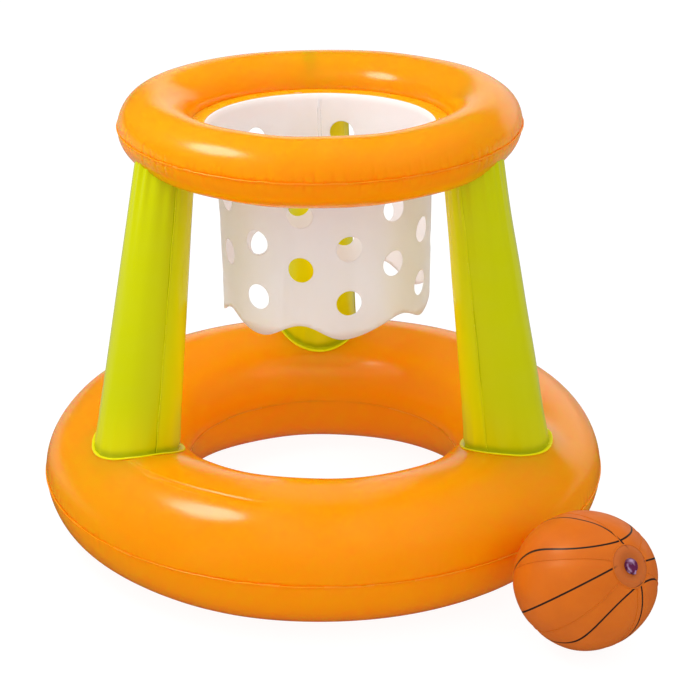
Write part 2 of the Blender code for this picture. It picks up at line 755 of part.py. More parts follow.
def make_discs(frame):
    """The valve's disc with its dimple, and the plain disc at the other pole."""
    floor = BALL_RADIUS - BALL_DIMPLE_DEPTH
    brink = BALL_DIMPLE_DIAMETER / 2
    brink_angle = math.degrees(math.asin(brink / BALL_RADIUS))
    dish = [(VALVE_HOLE_DIAMETER / 2, floor), (BALL_DIMPLE_FLOOR_DIAMETER / 2, floor)]
    dish += [sphere_point(a) for a in spread(brink_angle, disc_angle(), 2)]
    valve_disc = add_part("ball_valve_disc", outline_mesh("valve_disc", dish, False),
                          "ball film", frame)
    thicken(turn(valve_disc, BALL_DISC_STEPS), FILM)

    cap = [sphere_point(a) for a in spread(0, disc_angle(), 3)]
    end_disc = add_part("ball_end_disc", outline_mesh("end_disc", cap, False),
                        "ball film", frame)
    thicken(turn(end_disc, BALL_DISC_STEPS), FILM)
    end_disc.rotation_euler = (math.pi, 0, 0)


def make_ball_valve(frame):
    """The same valve, in the dimple of its disc, with a flat collar behind."""
    floor = BALL_RADIUS - BALL_DIMPLE_DEPTH
    seat = add_guide("ball_valve_frame", (0, 0, floor), parent=frame)
    high = -(FILM + FIT_GAP)
    low = high - VALVE_COLLAR_THICKNESS
    bore, sleeve = bore_radius(), bore_radius() + VALVE_SLEEVE_WALL
    wide = BALL_COLLAR_DIAMETER / 2
    outline = [(bore, high), (wide, high), (wide, low), (sleeve, low),
               (sleeve, -VALVE_SLEEVE_DEPTH), (bore, -VALVE_SLEEVE_DEPTH)]
    name = "ball_valve_collar"
    collar = add_part(name, outline_mesh(name, outline, True), "clear vinyl", seat)
    turn(collar, VALVE_STEPS)
    make_stem("ball", seat)
    make_plug("ball", seat)


def make_ball(axis):
    height = BALL_RADIUS + BALL_FLOOR_GAP
    tilt = (math.radians(90 - BALL_VALVE_ELEVATION), 0,
            math.radians(BALL_VALVE_BEARING + 90))
    frame = add_guide("ball_frame", (BALL_X, BALL_Y, height), tilt, axis)
    make_gores(frame)
    make_discs(frame)
    make_ball_valve(frame)


def build():
    axis = add_guide("hoop_axis", HOOP_AXIS)
    base_upper = make_base_ring(axis)
    hoop_upper, hoop_lower = make_hoop_ring(axis)
    make_legs(axis, hoop_lower)
    make_net(axis)
    make_ring_valve("base", BASE, BASE_VALVE_FACET, base_upper, axis)
    make_ring_valve("hoop", HOOP, HOOP_VALVE_FACET, hoop_upper, axis)
    make_ball(axis)
    bpy.context.view_layer.update()


build()
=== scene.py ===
"""Floating basketball hoop: its looks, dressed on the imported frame.

Units are metres and +Z is up. Bearings are degrees about the hoop's upright
axis, from +X towards +Y, so the front of the hoop faces bearing 270.
"""

import functools
import json
import math

import bmesh
import bpy
import numpy as np
from mathutils import Matrix, Vector
from mathutils.geometry import delaunay_2d_cdt


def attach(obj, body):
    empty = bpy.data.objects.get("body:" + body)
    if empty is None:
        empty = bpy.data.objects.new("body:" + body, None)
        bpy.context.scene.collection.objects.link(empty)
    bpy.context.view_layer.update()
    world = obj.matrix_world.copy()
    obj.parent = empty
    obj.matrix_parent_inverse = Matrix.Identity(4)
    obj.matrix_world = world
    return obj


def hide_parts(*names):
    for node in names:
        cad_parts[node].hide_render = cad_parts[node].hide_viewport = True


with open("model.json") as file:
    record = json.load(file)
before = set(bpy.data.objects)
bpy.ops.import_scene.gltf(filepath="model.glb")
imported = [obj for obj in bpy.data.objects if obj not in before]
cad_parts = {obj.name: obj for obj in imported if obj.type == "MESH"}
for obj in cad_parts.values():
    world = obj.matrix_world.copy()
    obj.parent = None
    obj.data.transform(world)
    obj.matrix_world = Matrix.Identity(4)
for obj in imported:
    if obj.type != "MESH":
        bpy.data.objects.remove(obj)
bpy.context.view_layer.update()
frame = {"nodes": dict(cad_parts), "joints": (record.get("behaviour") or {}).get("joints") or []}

RANDOM = np.random.default_rng(11)
TURN = 2 * math.pi

# The hoop's axis and the rings, as in the CAD
AXIS = np.array((-0.013478, 0.031490, 0.0))
FIT_GAP = 0.0003


class Ring:
    """An inflated ring: an oval tube of film about the hoop's axis."""

    def __init__(self, outer_diameter, width, height, centre_height):
        self.wide = width / 2
        self.high = height / 2
        self.tube = (self.wide + self.high) / 2
        self.centre = outer_diameter / 2 - self.wide
        self.height = centre_height

    def skin(self, around, section):
        """Points and outward directions, for angles in radians."""
        around, section = np.broadcast_arrays(around, section)
        radius = self.centre + self.wide * np.cos(section)
        height = self.height + self.high * np.sin(section)
        points = on_axis(radius, around, height)
        out, up = np.cos(section) / self.wide, np.sin(section) / self.high
        length = np.hypot(out, up)
        normals = on_axis(out / length, around, up / length) - AXIS
        return points, normals

    def top(self, radius):
        """Height of the upper skin at a distance from the axis."""
        share = np.clip(1 - ((radius - self.centre) / self.wide) ** 2, 0, 1)
        return self.height + self.high * np.sqrt(share)


def on_axis(radius, around, height):
    """World points from a radius, an angle and a height about the hoop's axis."""
    radius, around, height = np.broadcast_arrays(radius, around, height)
    flat = np.stack((radius * np.cos(around), radius * np.sin(around), height), -1)
    return flat + AXIS


BASE = Ring(0.670, 0.172, 0.154, 0.076)
HOOP = Ring(0.462, 0.0826, 0.0752, 0.4955)
WEB_WIDTH = 0.0155
WEB_INNER = HOOP.centre - HOOP.wide - WEB_WIDTH
WEB_FILM = 0.0009

# The soft hoop sits a little lower on its left, and its front and back sag
HOOP_LEAN = math.radians(0.3)
HOOP_SAG = 0.0042
SAG_LEVEL = 0.4                  # the share of the sag above the hoop's own height
HOOP_SWAY = -0.0020

# Legs: foot and head centres, and the bearings that each leans between
LEG_BEARINGS = {"back": (92.1, 90.7), "left": (210.0, 209.5), "right": (330.0, 330.3)}
LEG_FOOT = (BASE.centre - 0.0045, BASE.height + BASE.high)
LEG_HEAD = (HOOP.centre + 0.0081, HOOP.height - HOOP.high)
LEG_FOOT_RADIUS = 0.0481
LEG_HEAD_RADIUS = 0.0337
LEG_FILM = 0.0008
FOOT_LIP_RADIUS = 0.0537
FOOT_LIP_WIDTH = 0.0070
# Each foot's weld is a shallow saddle: height in the middle and how far it
# bends down towards the outside and inside of the ring
FOOT_SADDLES = {"back": (0.1458, 0.0080), "left": (0.1467, 0.0072), "right": (0.1510, 0.0050)}
FOOT_TILT = math.radians(5.7)

# Net
NET_THROAT = WEB_INNER - 0.0009
NET_WAIST = NET_THROAT - 0.0085
NET_HEM = NET_THROAT - 0.0112
NET_TOP = HOOP.height - 0.0010
NET_LENGTH = 0.2120
NET_FLARE = 0.0640
NET_RIM = 0.0060
NET_FILM = 0.0006
NET_SCALLOP_HEIGHT = 0.0170
# Bearings of the scallops' lowest and highest points in turn: their widths differ
NET_BENDS = (-177, -151, -125, -101, -77.5, -44, -19, 6, 30, 55, 80, 105, 131, 157)
# It hangs longer on its left and stands away from the middle on its right
NET_HEM_TILT = 0.0022
NET_BULGE = 0.0032
NET_HOLE_RADIUS = 0.01475
NET_HOLE_COLUMNS = 14
NET_HOLE_PITCH = 0.0648
NET_HOLE_DROPS = (0.0467, 0.0718)
NET_FIRST_COLUMN = 284.8
NET_LAP = 91.5

# Valves, as in the CAD
HINGE_REACH = 0.0095
HINGE_RISE = 0.00195
POCKET_RADIUS = 0.0073
RING_POCKET_DEPTH = 0.030
BALL_POCKET_DEPTH = 0.026
RIM_THICKNESS = 0.0015
CAP_THICKNESS = 0.0020

# Ball
BALL_RADIUS = 0.078
BALL_CENTRE = np.array((0.271678, -0.289690, 0.0783))
BALL_VALVE_BEARING = -49.5
BALL_VALVE_ELEVATION = 33.5
BALL_SEAM = 27.5
BALL_GORES = 6
BALL_DISC_RADIUS = 0.0235
# The ball isn't full: how far its top drops and its foot draws in, and within
# what angles of its valve its skin doesn't
BALL_DROP = 0.0054
BALL_PULL = 0.0020
BALL_FIRM = (24, 64)
# The round hollow in which its valve sits
DIMPLE_RADIUS = 0.0180
DIMPLE_SLOPE = 0.0070
DIMPLE_DEPTH = 0.0035


# Mesh building

BEAD_SIDES = 8
ROUND_SIDES = 48                 # of turned pieces, holes and pockets


def grid_mesh(name, points, wrap_rows=False, wrap_columns=False):
    """A quad mesh over a grid of points, with a 0 to 1 UV map along each way."""
    rows, columns = points.shape[:2]
    row_count = rows if wrap_rows else rows - 1
    column_count = columns if wrap_columns else columns - 1
    i, j = np.meshgrid(np.arange(row_count), np.arange(column_count), indexing="ij")
    i, j = i.ravel(), j.ravel()
    i2, j2 = (i + 1) % rows, (j + 1) % columns
    faces = np.stack((i * columns + j, i2 * columns + j,
                      i2 * columns + j2, i * columns + j2), -1)
    mesh = bpy.data.meshes.new(name)
    mesh.from_pydata(points.reshape(-1, 3).tolist(), [], faces.tolist())
    u = np.stack((i, i + 1, i + 1, i), -1) / row_count
    v = np.stack((j, j, j + 1, j + 1), -1) / column_count
    layer = mesh.uv_layers.new(name="along")
    layer.data.foreach_set("uv", np.stack((u, v), -1).ravel().astype(np.float32))
    mesh.shade_smooth()
    return mesh


def new_object(name, data):
    obj = bpy.data.objects.new(name, data)
    bpy.context.scene.collection.objects.link(obj)
    return obj


def add(mesh, material, body, stands_for=()):
    """A finished piece: its mesh, material, body and the nodes it replaces."""
    obj = new_object(mesh.name, mesh)
    mesh.materials.append(material)
    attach(obj, body)
    if stands_for:
        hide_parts(*stands_for)
    return obj


def bake(obj):
    """Apply an object's modifiers to its mesh."""
    graph = bpy.context.evaluated_depsgraph_get()
    mesh = bpy.data.meshes.new_from_object(obj.evaluated_get(graph))
    obj.modifiers.clear()
    old, obj.data = obj.data, mesh
    bpy.data.meshes.remove(old)


def thicken(obj, thickness, offset=-1):
    solid = obj.modifiers.new("film", "SOLIDIFY")
    solid.thickness = thickness
    solid.offset = offset
    solid.use_even_offset = True
    bake(obj)


def placed(matrix, x, y, z):
    """World points from places in a matrix's own frame."""
    local = np.stack(np.broadcast_arrays(x, y, z, 1.0), -1)
    return local @ np.array(matrix).T[:, :3]


def circle(count):
    """Angles all the way round, in even steps."""
    return np.linspace(0, TURN, count, endpoint=False)


def wrapped(angle):
    """An angle brought within half a turn of 0."""
    return np.remainder(angle + math.pi, TURN) - math.pi


def hump(offset, width):
    """A smooth rise to 1 and back, about as wide to each side as width."""
    return np.exp(-(offset / width) ** 2)


def unit(vectors):
    return vectors / np.linalg.norm(vectors, axis=-1, keepdims=True)


def bead(name, path, up, half_width, half_height, closed):
    """A rounded bead along a path; up is the way it stands, at each point."""
    if closed:
        along = np.roll(path, -1, 0) - np.roll(path, 1, 0)
    else:
        along = np.gradient(path, axis=0)
    along = unit(along)
    across = unit(np.cross(along, up))
    up = unit(np.cross(across, along))
    angles = circle(BEAD_SIDES)
    size = np.ones(len(path))
    if not closed:
        size[[0, -1]] = 0.05
        size[[1, -2]] = 0.75
    wide = (size * half_width)[:, None, None] * np.cos(angles)[None, :, None]
    tall = (size * half_height)[:, None, None] * np.sin(angles)[None, :, None]
    points = path[:, None] + across[:, None] * wide + up[:, None] * tall
    return grid_mesh(name, points, closed, True)


def ripple(around, section, waves, size, low, high):
    """A smooth uneven surface: a sum of seeded waves that meet up all round."""
    total = np.zeros(np.broadcast_shapes(around.shape, section.shape))
    for _ in range(waves):
        turns = RANDOM.integers(low, high)
        rolls = RANDOM.integers(-2, 3)
        phase = RANDOM.uniform(0, TURN)
        total += np.sin(turns * around + rolls * section + phase)
    return total * size / math.sqrt(waves)


def tucks(around, offset, radius, spacing, depth, reach):
    """Small creases that run off a weld, where the inflated film gathers.

    around and offset are each point's angle and its distance from the weld."""
    total = np.zeros(np.broadcast_shapes(around.shape, offset.shape))
    place = 0.0
    while place < TURN:
        place += RANDOM.uniform(0.5, 1.6) * spacing / radius
        width = RANDOM.uniform(0.0013, 0.0026)
        deep = depth * RANDOM.uniform(0.15, 1.0)
        above, below = RANDOM.uniform(0.4, 1.2, 2) * reach
        gap = wrapped(around - place)
        far = np.where(offset > 0, offset / above, -offset / below)
        total += deep * np.exp(-(gap * radius / width) ** 2 - far ** 2)
    return total


RING_STEPS = 1080
SEAM_STEPS = (0, 0.0007, 0.0015, 0.0024, 0.0036, 0.0052, 0.0074, 0.0102, 0.0136, 0.0176)
SECTION_STEP = 0.0052


def section_angles(ring):
    """Angles round a tube's section, close together at the outer weld."""
    far = np.arange(SEAM_STEPS[-1] + SECTION_STEP, math.pi * ring.tube, SECTION_STEP)
    half = np.concatenate((SEAM_STEPS, far)) / ring.tube
    return np.concatenate((half, [math.pi], TURN - half[:0:-1]))


def lean(points, share=1.0):
    """Move points with the hoop, which leans, sags and stands a little to the left."""
    across = points[..., 0] - AXIS[0]
    rise = math.tan(HOOP_LEAN) * across
    rise = rise + HOOP_SAG * ((across / (HOOP.centre + HOOP.wide)) ** 2 - SAG_LEVEL)
    moved = points.copy()
    moved[..., 2] += rise * share
    moved[..., 0] += HOOP_SWAY * share
    return moved


def smooth(share):
    share = np.clip(share, 0, 1)
    return share * share * (3 - 2 * share)


# How near a valve's middle the skin moves fully with it, and how far off not at
# all: as the skin comes up to the valve, and as it is pressed flat under it
SEAT_LIFT = (0.0100, 0.0600)
SEAT_PRESS = (0.0100, 0.0165)
SEAT_MIDDLE = 0.006
SEAT_DEPTH = 0.030


def seat(points, valve):
    """Bring the skin softly up to a valve and press it flat under the valve."""
    origin = np.array(valve.translation)
    normal = np.array(valve.col[2][:3])
    for near, reach in (SEAT_LIFT, SEAT_PRESS):
        away = points - origin
        height = away @ normal
        beside = np.linalg.norm(away - height[..., None] * normal, axis=-1)
        share = smooth((reach - beside) / (reach - near))
        share = share * np.clip(1 + height / SEAT_DEPTH, 0, 1)
        if reach == SEAT_LIFT[1]:
            height = height[(beside < SEAT_MIDDLE) & (height > -SEAT_DEPTH)].mean()
        points = points - (height * share)[..., None] * normal
    return points


def valve_frame(prefix):
    """Where a valve sits: origin on the film, +Z out of it, from its joints."""
    joints = {j["name"]: j for j in frame["joints"]}
    out = Vector(joints[prefix + "_valve_pull"]["axis"]).normalized()
    hinge = joints[prefix + "_stopper_hinge"]
    side = Vector(hinge["axis"]).normalized()
    rise = out.cross(side)
    origin = Vector(hinge["pos_m"]) + rise * HINGE_REACH - out * HINGE_RISE
    return Matrix.Translation(origin) @ Matrix((side, rise, out)).transposed().to_4x4()


def drill(obj, place, depth):
    """Sink a round pocket into a closed skin, for a valve's stem."""
    sides = ROUND_SIDES
    walls = [[POCKET_RADIUS * math.cos(a), POCKET_RADIUS * math.sin(a), z]
             for a in circle(sides) for z in (-depth, 0.004)]
    faces = [[2 * k, 2 * ((k + 1) % sides), 2 * ((k + 1) % sides) + 1, 2 * k + 1]
             for k in range(sides)]
    faces += [list(range(2 * sides - 2, -1, -2)), list(range(1, 2 * sides, 2))]
    mesh = bpy.data.meshes.new("pocket")
    mesh.from_pydata(walls, [], faces)
    mesh.transform(place)
    cutter = new_object("pocket", mesh)
    bpy.context.view_layer.update()
    cut = obj.modifiers.new("pocket", "BOOLEAN")
    cut.operation = "DIFFERENCE"
    cut.solver = "EXACT"
    cut.object = cutter
    bake(obj)
    bpy.data.objects.remove(cutter, do_unlink=True)
    obj.data.shade_smooth()
    obj.data.set_sharp_from_angle(angle=math.radians(45))


# Materials

def put(made, values):
    """Set a node's inputs, by name or number, to values or other nodes' outputs."""
    for key, value in values.items():
        if isinstance(value, bpy.types.NodeSocket):
            made.id_data.links.new(value, made.inputs[key])
        else:
            made.inputs[key].default_value = value


def node(tree, kind, values=None, **properties):
    """A new node with its properties and inputs set."""
    made = tree.nodes.new("ShaderNode" + kind)
    for key, value in properties.items():
        setattr(made, key, value)
    put(made, values or {})
    return made


def new_material(name):
    material = bpy.data.materials.new(name)
    material.use_nodes = True
    return material


def parts_of(material):
    """A material's shader, its piece's coordinates in metres and its piece's map."""
    coords = node(material.node_tree, "TexCoord").outputs
    return material.node_tree.nodes["Principled BSDF"], coords["Object"], coords["UV"]


def split(vector):
    """The X, Y and Z of a vector."""
    return node(vector.id_data, "SeparateXYZ", {0: vector}).outputs


def noise(place, scale, detail=2.0, stretch=(1, 1, 1)):
    """A noise texture in metres: scale is in lumps a metre."""
    mapping = node(place.id_data, "Mapping", {"Vector": place, "Scale": stretch})
    values = {"Vector": mapping.outputs["Vector"], "Scale": scale, "Detail": detail}
    return node(place.id_data, "TexNoise", values).outputs["Fac"]


def remap(value, low, high, to_low=0.0, to_high=1.0):
    """A smooth step from one number to another, as a value goes from low to high."""
    values = {"Value": value, "From Min": low, "From Max": high,
              "To Min": to_low, "To Max": to_high}
    made = node(value.id_data, "MapRange", values, interpolation_type="SMOOTHSTEP")
    return made.outputs["Result"]


def blend(factor, first, second):
    """A mix of two colours, each of them three numbers or an output."""
    first, second = ((*colour, 1.0) if isinstance(colour, tuple) else colour
                     for colour in (first, second))
    values = {0: factor, 6: first, 7: second}
    return node(factor.id_data, "Mix", values, data_type="RGBA").outputs[2]


def vector_math(operation, *values):
    made = node(values[0].id_data, "VectorMath", dict(enumerate(values)), operation=operation)
    return made.outputs["Value" if operation in ("DOT_PRODUCT", "DISTANCE") else "Vector"]


def dot(vector, direction):
    return vector_math("DOT_PRODUCT", vector, direction)


def calc(operation, *values):
    """A math node's output, from values of which one at least is an output."""
    tree = next(value.id_data for value in values if isinstance(value, bpy.types.NodeSocket))
    return node(tree, "Math", dict(enumerate(values)), operation=operation).outputs[0]


def folded(operation):
    """A function that works one operation through all its values."""
    return lambda *values: functools.reduce(functools.partial(calc, operation), values)


plus, minus, times = folded("ADD"), folded("SUBTRACT"), folded("MULTIPLY")
least, most = folded("MINIMUM"), folded("MAXIMUM")


def either(test, first, second):
    """The first value where the test is above 0, and the second elsewhere."""
    yes = calc("GREATER_THAN", test, 0.0)
    return plus(times(first, yes), times(second, minus(1.0, yes)))


def add_bumps(shader, *layers):
    """Layers of bump, each a height, its strength and its distance in metres."""
    normal = {}
    for height, strength, distance in layers:
        values = {"Height": height, "Strength": strength, "Distance": distance, **normal}
        normal = {"Normal": node(shader.id_data, "Bump", values).outputs["Normal"]}
    put(shader, normal)


# How much a film's gloss takes of its colour
ORANGE_TINT = (1.0, 0.92, 0.85)
LIME_TINT = (1.0, 1.0, 0.35)
# Light goes further into a film by red than by green and blue
FILM_SCATTER_WAYS = (1.0, 0.03, 0.015)
# The ring's light dims from this far off a valve's middle to this near it
POCKET_SHADE = (0.012, 0.060)
# The height in which the rings' film turns to its painted shade near the floor:
# a deeper, redder orange that stands in for the shade low down
PAINTED_SHADE_HEIGHT = 0.060


def film_material(name, roughness, tint, tones=None, scatter=0.0, reach=0.012, pockets=(),
                  foot=None):
    """Glossy soft vinyl: two close tones, faint smears in its gloss, fine grain.

    Light goes into it and fills it: reach is how far its red goes. None does so
    round the valves' pockets, which would dim it. foot is its painted shade near
    the floor: a deeper, redder tone that stands in for the shade low down."""
    material = new_material(name)
    shader, place, _ = parts_of(material)
    if tones:
        colour = blend(remap(noise(place, 7.0), 0.35, 0.65), *tones)
        # Painted shade: a deeper, redder orange towards the floor, where the film is in shade
        if foot:
            low = remap(split(place)["Z"], 0.0, PAINTED_SHADE_HEIGHT, 1.0, 0.0)
            colour = blend(low, colour, foot)
        put(shader, {"Base Color": colour})
    if pockets:
        away = (vector_math("DISTANCE", place, pocket) for pocket in pockets)
        scatter = remap(least(*away), *POCKET_SHADE, 0.0, scatter)
    smear = noise(place, 18.0, 3.0, (1, 1, 2.5))
    put(shader, {"Roughness": remap(smear, 0.3, 0.7, roughness * 0.8, roughness * 1.25),
                 "IOR": 1.5, "Specular Tint": (*tint, 1.0), "Subsurface Weight": scatter,
                 "Subsurface Radius": FILM_SCATTER_WAYS, "Subsurface Scale": reach})
    add_bumps(shader, (noise(place, 26.0, 1.0), 0.25, 0.0012),
              (noise(place, 420.0), 0.10, 0.0002))
    return material


# Its foot colour is painted shade, deeper and redder towards the floor
ORANGE = film_material("orange_vinyl", 0.19, ORANGE_TINT,
                       ((0.930, 0.335, 0.001), (0.925, 0.320, 0.001)), 0.90, 0.350,
                       [valve_frame(prefix).translation for prefix in ("base", "hoop")],
                       foot=(1.000, 0.240, 0.001))
ORANGE_WELD = film_material("orange_weld", 0.26, ORANGE_TINT,
                            ((0.920, 0.340, 0.002), (0.910, 0.325, 0.002)), 0.40, 0.003)
# The web's film is painted lighter and yellower than the ring's: painted light, for the light
# that reaches the thin strip through both its sides
PAINTED_LIGHT_WEB = film_material("orange_web_painted_light", 0.26, ORANGE_TINT,
                           ((0.920, 0.430, 0.003), (0.910, 0.410, 0.003)), 0.40, 0.003)
LIME_WELD = film_material("lime_weld", 0.24, LIME_TINT,
                          ((0.680, 0.700, 0.001), (0.660, 0.680, 0.001)))


def leg_material(name, seam, middle, foot):
    """A leg's film: its colour beside the side welds, midway between them and at the foot."""
    material = film_material(name, 0.20, LIME_TINT)
    shader, place, uv = parts_of(material)
    round_leg, up_leg, _ = split(uv)
    from_middle = calc("ABSOLUTE", minus(round_leg, 0.5))
    colour = blend(remap(from_middle, 0.20, 0.50, 1.0, 0.0), seam, middle)
    colour = blend(remap(up_leg, 0.12, 0.30, 0.7, 0.0), colour, foot)
    # Bands that run up the film, and painted shade in the channel above the foot's lip
    band = remap(noise(place, 26.0, 1.0, (1, 1, 0.06)), 0.38, 0.62, 0.0, 0.5)
    colour = blend(band, colour, tuple(part * 0.93 for part in seam))
    channel = remap(up_leg, 0.070, 0.150, 0.75, 0.0)
    put(shader, {"Base Color": blend(channel, colour, (0.330, 0.370, 0.002))})
    return material


LIME = leg_material("lime_vinyl", (0.585, 0.630, 0.001), (0.560, 0.600, 0.001),
                    (0.690, 0.650, 0.001))
# The inner panels: a warmer copy of the leg film, with painted light that makes it much lighter
# midway between the welds, where these panels are in shade
LIT_INNER_LIME = leg_material("lime_vinyl_inner_painted_light", (0.650, 0.690, 0.001), (0.980, 0.900, 0.001),
                    (0.800, 0.740, 0.001))


def lip_material(name):
    """A foot's weld: bright on its rounded edge, with painted shade in the channel inside it."""
    material = film_material(name, 0.26, LIME_TINT)
    shader, _, uv = parts_of(material)
    # Painted shade: the film darkens towards the channel between the lip and the leg's wall
    inside = remap(split(uv)["Y"], 0.66, 0.76, 0.0, 0.85)
    put(shader, {"Base Color": blend(inside, (0.820, 0.790, 0.001), (0.430, 0.440, 0.002))})
    return material


LIP = lip_material("lime_weld_lip")


def net_material(name, cover):
    """Milky film, whiter at its top weld; cover is how much it hides."""
    material = new_material(name)
    shader, place, uv = parts_of(material)
    cloud = remap(noise(place, 22.0, 2.0, (1, 1, 0.35)), 0.3, 0.7)
    body = blend(cloud, (0.980, 0.985, 1.000), (0.965, 0.960, 1.000))
    rim = remap(split(uv)["Y"], 0.030, 0.075, 1.0, 0.0)
    put(shader, {"Base Color": blend(rim, body, (0.95, 0.94, 0.94)),
                 "Alpha": remap(rim, 0.0, 1.0, cover, 1.0), "Roughness": 0.38,
                 "Subsurface Weight": 0.7, "Subsurface Radius": (1.0, 0.97, 0.97),
                 "Subsurface Scale": 0.0015})
    add_bumps(shader, (noise(place, 60.0, 2.0, (1, 1, 0.3)), 0.3, 0.0008),
              (noise(place, 700.0), 0.15, 0.0002))
    return material


MILKY = net_material("milky_film", 0.80)
MILKY_LAP = net_material("milky_lap", 0.25)


def clear_material(name, deep, cloud_and_painted_glint, milk):
    """Clear soft vinyl, cloudy in places; on the dark violet stopper its pale lumps are painted
    highlights.
    """
    material = new_material(name)
    shader, place, _ = parts_of(material)
    tone = remap(noise(place, 170.0, 1.0), 0.50, 0.80)
    put(shader, {"Base Color": blend(tone, deep, cloud_and_painted_glint), "Transmission Weight": 1 - milk,
                 "Roughness": 0.12, "IOR": 1.45})
    add_bumps(shader, (noise(place, 500.0), 0.2, 0.0002))
    return material


CLEAR = clear_material("clear_vinyl", (0.95, 0.96, 0.98), (0.98, 0.98, 1.0), 0.15)
# The stopper's pale lumps are painted highlights on its dark violet
VIOLET = clear_material("violet_vinyl", (0.150, 0.022, 0.090), (0.60, 0.40, 0.66), 0.75)


# Rings

# A long fine crease in the base ring's top, as bearings and section angles
CREASE = ((-150.0, 63.0), (-142.8, 66.6), (-133.5, 70.6), (-124.3, 71.7), (-116.1, 71.7),
          (-107.0, 70.0), (-99.0, 68.0))
CREASE_FADE = 0.12               # radians at each end


def crease(ring, around, section):
    """Height of the crease: a fine ridge with a shallow trough under it."""
    around = wrapped(around)
    bearings, sections = np.radians(CREASE).T
    off = (section - np.interp(around, bearings, sections)) * ring.tube
    fade = np.clip(np.minimum(around - bearings[0], bearings[-1] - around) / CREASE_FADE, 0, 1)
    return fade * (0.0005 * hump(off, 0.0014) - 0.0003 * hump(off + 0.0042, 0.0032))


def make_ring_skin(ring, prefix, gather):
    """A closed skin of film, gathered at its outer weld by so much."""
    around = circle(RING_STEPS)[:, None]
    section = section_angles(ring)
    if ring is BASE:
        at_feet = np.radians(np.arange(50, 75, 0.7))
        section = np.unique(np.concatenate((section, at_feet)))
    section = section[None, :]
    points, normals = ring.skin(around, section)
    # Distances along the skin from the outer and the inner weld
    outer = wrapped(section) * ring.tube
    inner = (section - math.pi) * ring.tube
    rise = ripple(around, section, 9, 0.0004, 2, 13)
    rise -= 0.0007 * hump(outer, 0.0022)
    rise -= 0.0002 * hump(inner, 0.0060)
    rise -= tucks(around, outer, ring.centre + ring.wide, 0.010, gather, 0.013)
    if ring is BASE:
        rise += crease(ring, around, section)
    points = points + normals * rise[..., None]
    if ring is BASE:
        points = lift_at_feet(points)
        points[..., 2] = np.maximum(points[..., 2], 0.0)
    else:
        points = lean(points)
    valve = valve_frame(prefix)
    mesh = grid_mesh(prefix + "_ring_skin", seat(points, valve), True, True)
    skin = add(mesh, ORANGE, "hoop_stand",
               (prefix + "_ring_upper_panel", prefix + "_ring_lower_panel"))
    drill(skin, valve, RING_POCKET_DEPTH)


def foot_surface(side, out, beside):
    """Height of a foot's weld surface, at offsets from the foot's centre."""
    middle, saddle = FOOT_SADDLES[side]
    bend = saddle * (out ** 2 - beside ** 2) / FOOT_LIP_RADIUS ** 2
    return middle + math.tan(FOOT_TILT) * out - bend


def leg_ways(side):
    """Outward and sideways unit vectors of a leg's foot."""
    bearing = math.radians(LEG_BEARINGS[side][0])
    out = np.array((math.cos(bearing), math.sin(bearing), 0.0))
    beside = np.array((-math.sin(bearing), math.cos(bearing), 0.0))
    return out, beside


def lift_at_feet(points):
    """Draw the base ring's film up to each foot's weld."""
    moved = points.copy()
    for side in LEG_BEARINGS:
        out_way, beside_way = leg_ways(side)
        away = points - AXIS
        out = away @ out_way - LEG_FOOT[0]
        beside = away @ beside_way
        reach = np.hypot(out, beside)
        near = (reach < 0.16) & (points[..., 2] > BASE.height)
        angle = np.arctan2(beside, out)
        rim_out = FOOT_LIP_RADIUS * np.cos(angle)
        rim_beside = FOOT_LIP_RADIUS * np.sin(angle)
        rim = BASE.top(np.hypot(LEG_FOOT[0] + rim_out, rim_beside))
        lift = foot_surface(side, rim_out, rim_beside) - rim
        inside = foot_surface(side, out, beside) - points[..., 2]
        fade = np.exp(-(np.maximum(reach - FOOT_LIP_RADIUS, 0) / 0.020) ** 1.5)
        change = np.where(reach < FOOT_LIP_RADIUS, inside, lift * fade)
        moved[..., 2] += np.where(near, change, 0.0)
    return moved


def make_ring_welds():
    """The fine ridges where each ring's two films are welded."""
    around = circle(900)
    for ring, prefix in ((BASE, "base"), (HOOP, "hoop")):
        wander = ripple(around, np.zeros(1), 7, 0.00025, 20, 90)
        radius = ring.centre + ring.wide + 0.0001
        path = on_axis(radius, around, ring.height + wander)
        up = on_axis(1.0, around, 0.0) - AXIS
        if ring is HOOP:
            path = lean(path)
        mesh = bead(prefix + "_outer_bead", path, up, 0.0008, 0.0011, True)
        add(mesh, ORANGE_WELD, "hoop_stand", (prefix + "_ring_outer_weld",))
    radius = BASE.centre - BASE.wide + 0.0001
    path = on_axis(radius, around, BASE.height + ripple(around, np.zeros(1), 5, 0.0002, 9, 40))
    up = AXIS - on_axis(1.0, around, 0.0)
    mesh = bead("base_inner_bead", path, up, 0.0010, 0.0003, True)
    add(mesh, ORANGE_WELD, "hoop_stand", ("base_ring_inner_weld",))


def make_web():
    """The flat strip inside the hoop, a little slack between its welds."""
    around = circle(540)[:, None]
    share = np.linspace(0, 1, 9)[None, :]
    radius = WEB_INNER + (WEB_WIDTH + 0.0015) * share
    slack = np.sin(share * math.pi)
    height = HOOP.height - 0.0006 * slack + slack * ripple(around, share, 7, 0.0004, 5, 40)
    points = lean(on_axis(radius, around, height))[:, ::-1]
    web = add(grid_mesh("hoop_web", points, True), PAINTED_LIGHT_WEB, "hoop_stand",
              ("hoop_ring_inner_web",))
    thicken(web, WEB_FILM, 0)


# Legs

def leg_matrix(side):
    """A leg's frame: origin at its foot, +Z up its middle and +X outwards."""
    low, high = (math.radians(b) for b in LEG_BEARINGS[side])
    foot = Vector(on_axis(LEG_FOOT[0], low, LEG_FOOT[1]))
    head = Vector(on_axis(LEG_HEAD[0], high, LEG_HEAD[1]))
    up = (head - foot).normalized()
    beside = up.cross(Vector(leg_ways(side)[0])).normalized()
    turn = Matrix((beside.cross(up), beside, up)).transposed()
    return Matrix.Translation(foot) @ turn.to_4x4()


